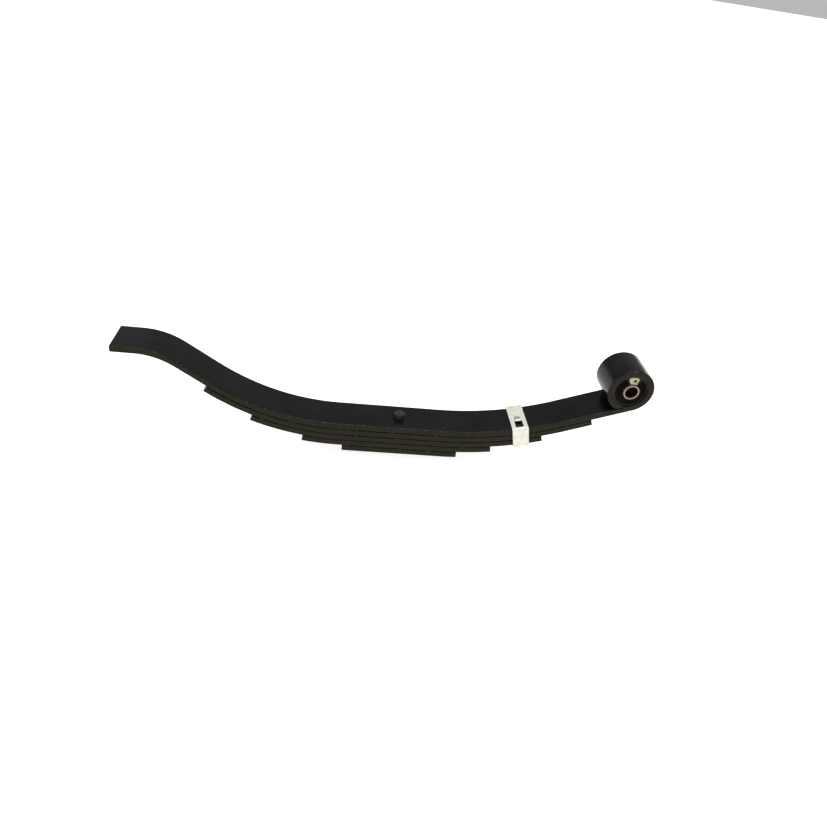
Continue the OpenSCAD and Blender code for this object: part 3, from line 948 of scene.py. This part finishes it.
def clip_tongue():
    """The strap's tongue: up through the slot, over its rear edge and hammered down to a thin round end."""
    b = Build()
    steps, bend_steps, root_steps = 14, 8, 3
    half_w, end_share = TONGUE_W / 2, 0.42
    seat_h, root_h = STRAP_TOP + CLIP_T + 0.04, STRAP_TOP + 0.06
    back_y, tip_y = SLOT_REAR - 0.05, SLOT_REAR + TONGUE_LEN
    bend_y, bend_h = back_y + TONGUE_BEND_R, seat_h - TONGUE_BEND_R
    # rows from the tip to the root: upper point, lower point, half width and edge value
    line = []
    for i in range(steps):
        w = i / steps
        y = tip_y + (bend_y - tip_y) * w
        thick = TONGUE_TIP_T + (TONGUE_T - TONGUE_TIP_T) * smooth(w)
        half = half_w * math.sqrt(1 - max(0.0, 1 - w / end_share) ** 2 * 0.86)
        # painted shade on the tongue's back-sloping top (edge value -0.5)
        line.append(((y, seat_h + thick), (y, seat_h), half, -0.5))
    for i in range(bend_steps + 1):
        a = QUARTER * (1 + i / bend_steps)
        upper, lower = [(bend_y + r * math.cos(a), bend_h + r * math.sin(a))
                        for r in (TONGUE_BEND_R + TONGUE_T, TONGUE_BEND_R)]
        # a painted highlight on the bend (edge value 1), fading into painted shade (down to -1)
        line.append((upper, lower, half_w, 1.0 - 2.0 * max(0, i - 3) / 5))
    for i in range(1, root_steps + 1):
        h = bend_h + (root_h - bend_h) * i / root_steps
        # painted shade on the root, down in the slot (edge value -1)
        line.append(((back_y - TONGUE_T, h), (back_y, h), half_w, -1.0))
    top_ns = [(-n[0], -n[1]) for n in left_normals([row[0] for row in line])]
    low_ns = left_normals([row[1] for row in line])
    rings = []
    for i, (top, low, half, edge) in enumerate(line):
        ring = strip_ring(top, low, top_ns[i], low_ns[i], half, 0.4, [-1, -0.5, 0, 0.5, 1],
                          clip_put, 0.7 * i)
        rings.append([(place, n, flow, edge or own_edge) for place, n, flow, own_edge in ring])
    for first, second in zip(rings, rings[1:]):
        join_rings(b, first, second)
    cap_ring(b, rings[-1], clip_put((0, -1), 0.0, True), False)
    cap_ring(b, rings[0], clip_put((1, 0), 0.0, True), True)
    return b.make("rebound_clip_tongue")


finish_piece(clip_strap(), ZINC, "clip_zinc", arm="eye_arm", stands_for=("rebound_clip",))
finish_piece(clip_tongue(), ZINC, "clip_zinc", arm="eye_arm")


# ---- eye bush ----
def tube_profile(inner_r, outer_r, half, radius):
    points = [(inner_r, 0), (inner_r, half), (outer_r, half), (outer_r, -half), (inner_r, -half),
              (inner_r, 0)]
    return rounded(points, [0, radius, radius, radius, radius, 0])[:-1]


def bush_shell():
    return bush_ring("bush_shell_turned", tube_profile(SHELL_BORE_R, SHELL_R, SHELL_LEN / 2, 0.35))


def bush_sleeve():
    # the bore's rows get an edge value of 1, which the sleeve's material paints as shade
    return bush_ring("bush_sleeve_turned", tube_profile(SLEEVE_BORE_R, SLEEVE_R, SLEEVE_LEN / 2, 0.5),
                     bore_shade_r=SLEEVE_BORE_R + 0.1)


FACE_W = SHELL_LEN / 2 - SHELL_EDGE
LIP_END = RUBBER_BORE_R + RUBBER_LIP
# radii of the rubber face's rows, closest together at its rounded lip and at the groove
FACE_ROWS = [RUBBER_BORE_R + 0.001, RUBBER_BORE_R + 0.08, RUBBER_BORE_R + 0.25,
             RUBBER_BORE_R + RUBBER_ROUND, 11.3, LIP_END - 0.4, 12.3, 12.7, 13.1, 13.7, 14.4, 15.2, 16.0,
             16.8, 17.4, 18.1, 18.5, GROOVE_AT, 18.9, 19.3, 19.8, RUBBER_OUT - 0.04, RUBBER_OUT]
# the patch of the face's grid in which the moulding-pin hole lies, as rows and columns
HOLE_ROW_FIRST, HOLE_ROW_LAST, HOLE_COLUMNS = 8, 14, 6


def rubber_height(r):
    """Distance of the rubber's face from the bush's middle, at a radius."""
    full = FACE_W + RUBBER_DISH
    if r < LIP_END - 0.4:
        short = max(0.0, RUBBER_BORE_R + RUBBER_ROUND - r)
        return full - RUBBER_ROUND + math.sqrt(max(0.0, RUBBER_ROUND ** 2 - short ** 2))
    t = min(1.0, (r - LIP_END + 0.4) / (RUBBER_SLOPE + 0.4))
    # the dish, and the shallow groove beside the shell
    return full - RUBBER_DISH * smooth(t) - GROOVE_DEPTH * math.exp(-((r - GROOVE_AT) / GROOVE_W) ** 2)


def pin_hole(b, outer):
    """The moulding-pin hole, from a closed line of the face's corners inwards."""
    centre = eye_place(PIN_HOLE_AT, PIN_HOLE_ANGLE, 0)
    floor_w = SHELL_LEN / 2 - PIN_HOLE_DEPTH
    turns = [math.atan2(place[0] - centre[0], place[2] - centre[2]) for place, *_ in outer]
    front = (0, -1, 0)

    def row(radius, w=None, drop=0.0, normal=None):
        found = []
        for a in turns:
            x, z = centre[0] + radius * math.sin(a), centre[2] + radius * math.cos(a)
            y = -w if w else drop - rubber_height(math.hypot(x - EYE_X, z - EYE_Z))
            found.append(((x, y, z), normal or (-math.sin(a), 0, -math.cos(a)), (x, y, z), 0.6))
        return found

    rows = [outer, row(PIN_HOLE_R + 0.5, normal=front), row(PIN_HOLE_R + 0.12, normal=front),
            row(PIN_HOLE_R, drop=0.15), row(PIN_HOLE_R, w=floor_w)]
    for first, second in zip(rows, rows[1:]):
        join_rings(b, first, second, True)
    middle = (centre[0], -floor_w, centre[2])
    join_rings(b, rows[-1], [(middle, front, middle, 0.0)] * len(outer), True, normal=front)


def bush_rubber_mesh():
    b = Build()
    cols = 96
    step = TAU / cols
    profile = [(r, rubber_height(r)) for r in FACE_ROWS]
    corner = profile[-1][1] - 0.04
    rows = profile + [(RUBBER_OUT, w) for w in (corner, 10, -10, -corner)]
    rows += [(r, -h) for r, h in profile[::-1]] + [(RUBBER_BORE_R, -10), (RUBBER_BORE_R, 10)]
    start = PIN_HOLE_ANGLE - step * HOLE_COLUMNS / 2
    grid = [[eye_place(r, start + step * i, w) for i in range(cols)] for r, w in rows]

    def stain(j, i):
        """Strongest on the front face near the top, round the paint dab."""
        a = (start + step * i + math.pi) % TAU - math.pi
        near = max(0.0, 1.0 - abs(a) / math.radians(34)) if j < len(FACE_ROWS) else 0.0
        return min(1.0, 1.6 * near) * min(1.0, max(0.0, (rows[j][0] - 11.2) / 1.5))

    def in_patch(j, i):
        return HOLE_ROW_FIRST <= j < HOLE_ROW_LAST and i < HOLE_COLUMNS

    corners = skin(b, grid, loop=True, edge=stain, skip=in_patch)
    outer = [corners[HOLE_ROW_FIRST][i] for i in range(HOLE_COLUMNS)]
    outer += [corners[j][HOLE_COLUMNS] for j in range(HOLE_ROW_FIRST, HOLE_ROW_LAST)]
    outer += [corners[HOLE_ROW_LAST][i] for i in range(HOLE_COLUMNS, 0, -1)]
    outer += [corners[j][0] for j in range(HOLE_ROW_LAST, HOLE_ROW_FIRST, -1)]
    pin_hole(b, outer)
    return b.make("bush_rubber_moulded")


# the dab covers a part of the rubber's face: degrees and mm about the eye's axis, then its thickness
DAB_TURN, DAB_HALF_TURN, DAB_AT, DAB_HALF_W, DAB_T = 0.5, 22.5, 15.6, 4.4, 0.42


def in_dab(x, z, a):
    """Whether a place lies within the dab's wavy outline. a is its direction from the pin hole."""
    turn, r = math.degrees(math.atan2(x, z)), math.hypot(x, z)
    wobble = 1 + 0.05 * math.sin(3 * a + 1) + 0.035 * math.sin(7 * a)
    across = abs((turn - DAB_TURN) / (DAB_HALF_TURN * wobble)) ** 3.4
    return across + abs((r - DAB_AT) / DAB_HALF_W) ** 6 < 1


def paint_dab():
    """A dab of pale paint on the rubber's front face, round the moulding-pin hole."""
    b = Build()
    spokes, depth, search_steps = 60, 9, 28
    inner = PIN_HOLE_R + 0.2
    centre = (PIN_HOLE_AT * math.sin(PIN_HOLE_ANGLE), PIN_HOLE_AT * math.cos(PIN_HOLE_ANGLE))
    # rows over the dab from the hole outwards, then back underneath
    rows = [[] for _ in range(2 * depth)]
    for i in range(spokes):
        a = TAU * i / spokes
        dx, dz = math.sin(a), math.cos(a)
        # the outline's distance along this spoke, found by halving
        out, beyond = inner, 14.0
        for _ in range(search_steps):
            mid = (out + beyond) / 2
            if in_dab(centre[0] + dx * mid, centre[1] + dz * mid, a):
                out = mid
            else:
                beyond = mid
        for k in range(depth):
            w = k / (depth - 1)
            reach = inner + (out - inner) * w
            x, z = centre[0] + dx * reach, centre[1] + dz * reach
            face = -rubber_height(math.hypot(x, z))
            swell = math.sqrt(max(0.0, 1 - (2 * w - 1) ** 8))
            lump = 0.06 * math.sin(0.9 * x + 2) * math.sin(0.8 * z)
            lift = 0.03 + (DAB_T + lump) * swell
            rows[k].append((EYE_X + x, face - lift, EYE_Z + z))
            rows[2 * depth - 1 - k].append((EYE_X + x, face - 0.015, EYE_Z + z))
    skin(b, rows, loop=True, edge=lambda j, i: 1.0 if j in (0, 1, depth - 1, depth) else 0.0)
    return b.make("inspection_paint_dab", own_normals=False)


finish_piece(bush_shell(), SHELL, "shell_steel", body="eye_arm", stands_for=("bush_shell",))
finish_piece(bush_sleeve(), SLEEVE, "sleeve_steel", body="bush_sleeve", stands_for=("bush_sleeve",))
finish_piece(bush_rubber_mesh(), RUBBER, "bush_rubber", body="eye_arm", stands_for=("bush_rubber",))
finish_piece(paint_dab(), DAB, None, body="eye_arm")


# ---- floor, light, sky and camera ----
def white_floor(reach=60.0):
    mesh = bpy.data.meshes.new("floor")
    corners = [(x * reach, y * reach, CAD_LOW.z) for x, y in ((-1, -1), (1, -1), (1, 1), (-1, 1))]
    mesh.from_pydata(corners, [], [(0, 1, 2, 3)])
    mesh.materials.append(floor_finish())
    return add_object("floor", mesh)


def soft_light(name, place, target, wide, deep, power):
    data = bpy.data.lights.new(name, "AREA")
    data.shape = "RECTANGLE"
    data.size, data.size_y = wide, deep
    data.energy = power
    obj = add_object(name, data)
    obj.location = place
    obj.rotation_euler = (Vector(target) - Vector(place)).to_track_quat("-Z", "Y").to_euler()


def studio_sky():
    """White, brightest near the horizon and overhead. The black paint reflects its bands, and the dark
    part between them gives the leaves' tops their tone."""
    world = bpy.data.worlds.new("studio")
    bpy.context.scene.world = world
    world.use_nodes = True
    sky = Nodes(world.node_tree)
    direction = sky.node("ShaderNodeTexCoord").outputs["Generated"]
    height, depth = sky.axis(direction, "Z"), sky.axis(direction, "Y")

    def band(along, low, high, start, end):
        return sky.ramp(along, low, high, start, end, "SMOOTHSTEP")

    horizon = sky.times(band(height, 0.0, 0.55, 1.15, 0.05), band(depth, -0.3, 0.8, 1.0, 0.42))
    ceiling = sky.plus(band(height, 0.22, 0.42, 0.0, 0.50), band(height, 0.85, 0.93, 0.0, 2.6))
    background = sky.tree.nodes["Background"]
    sky.plug(background.inputs["Strength"], sky.plus(horizon, ceiling))
    background.inputs["Color"].default_value = (1.0, 1.0, 0.99, 1.0)


def add_camera(place, ahead, over, lens):
    """A camera at a place, looking ahead, with its top towards over."""
    ahead = Vector(ahead).normalized()
    right = ahead.cross(Vector(over)).normalized()
    data = bpy.data.cameras.new("camera")
    data.sensor_width = 36.0
    data.lens = lens
    data.clip_start, data.clip_end = 0.01, 50
    camera = add_object("camera", data)
    turn = Matrix((right, right.cross(ahead), -ahead)).transposed().to_4x4()
    turn.translation = Vector(place)
    camera.matrix_world = turn
    bpy.context.scene.camera = camera


white_floor()
soft_light("overhead", (-0.2, 0.1, 2.2), (0, 0, 0), 2.0, 1.4, 12)
studio_sky()
add_camera((-0.0959, -0.7260, 0.5091), (0.1279, 0.8159, -0.5639), (-0.0734, 0.5748, 0.8150), 29.64)
bpy.context.scene.view_settings.view_transform = "Standard"
